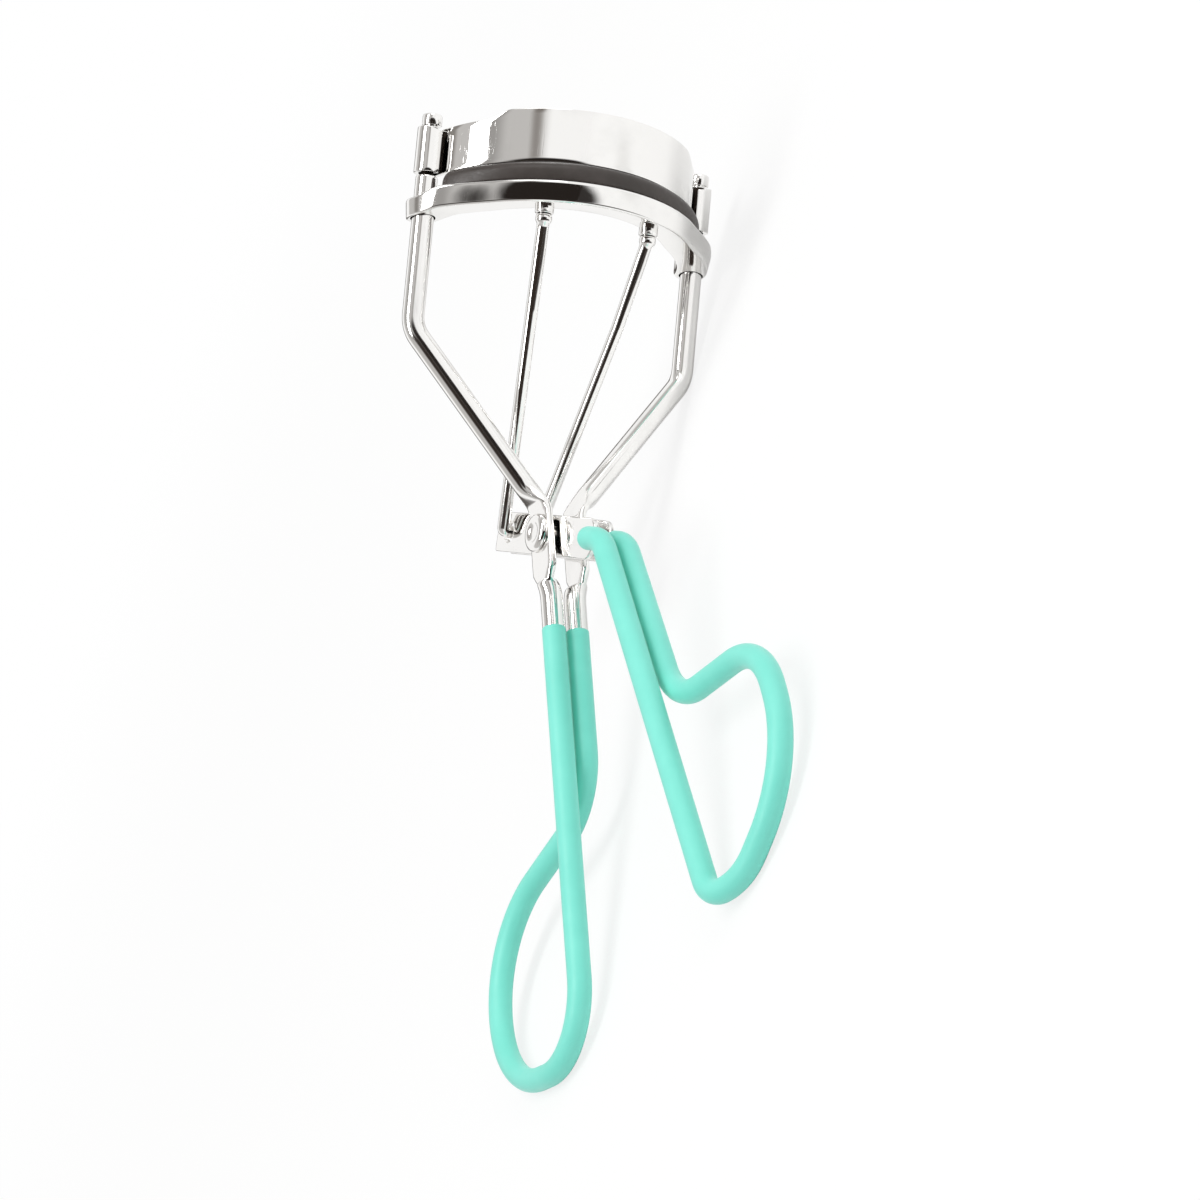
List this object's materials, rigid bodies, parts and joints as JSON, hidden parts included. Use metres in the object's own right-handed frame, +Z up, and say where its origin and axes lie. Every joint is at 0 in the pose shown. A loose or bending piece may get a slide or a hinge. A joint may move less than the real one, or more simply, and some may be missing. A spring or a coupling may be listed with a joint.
{
  "type": "eyelash curler",
  "caption": "Chromed wire eyelash curler with bowed jaws, a rubber pad, a coated thumb loop and a pivoting finger lever that slides the lower jaw.",
  "frame": {"origin": "centre of the bounding box's base, on the table that the tool lies on", "axes": "+Z up, +Y roughly along the guide rods from the handles towards the jaws, +X towards the bowed front of the jaws and the lever"},
  "size_m": [0.0658, 0.1096, 0.041],
  "materials": {
    "chrome": "bright mirror plating",
    "soft_coat": "matt soft-touch dip coat in teal",
    "pad_rubber": "matt moulded rubber"
  },
  "bodies": {
    "frame": {"left_frame_arm": "chrome", "right_frame_arm": "chrome", "thumb_loop_wire": "chrome", "thumb_grip": "soft_coat", "upper_jaw": "chrome", "pivot_rivet": "chrome"},
    "lever": {"left_lever_plate": "chrome", "right_lever_plate": "chrome", "finger_loop_wire": "chrome", "finger_grip": "soft_coat"},
    "lower_jaw": {"lower_jaw": "chrome", "lash_pad": "pad_rubber"},
    "push_rods": {"left_push_rod": "chrome", "right_push_rod": "chrome"}
  },
  "joints": [
    {"name": "lever_hinge", "type": "hinge", "parent": "frame", "child": "lever", "pos_m": [-0.0198, 0.00587, 0.01316], "axis": [-0.0971, 0.1949, -0.976], "range_deg": [-40, 0]},
    {"name": "lower_jaw_slide", "type": "slide", "parent": "frame", "child": "lower_jaw", "axis": [0.0193, 0.9808, 0.194], "range_m": [-0.0065, 0]},
    {"name": "push_rod_swing", "type": "hinge", "parent": "lower_jaw", "child": "push_rods", "pos_m": [-0.01701, 0.04031, 0.01977], "axis": [-0.0971, 0.1949, -0.976], "range_deg": [-2, 0]}
  ],
  "couplings": [
    {"joint": "lower_jaw_slide", "follows": "lever_hinge", "m_per_rad": 0.00911},
    {"joint": "push_rod_swing", "follows": "lever_hinge", "ratio": 0.0425}
  ]
}
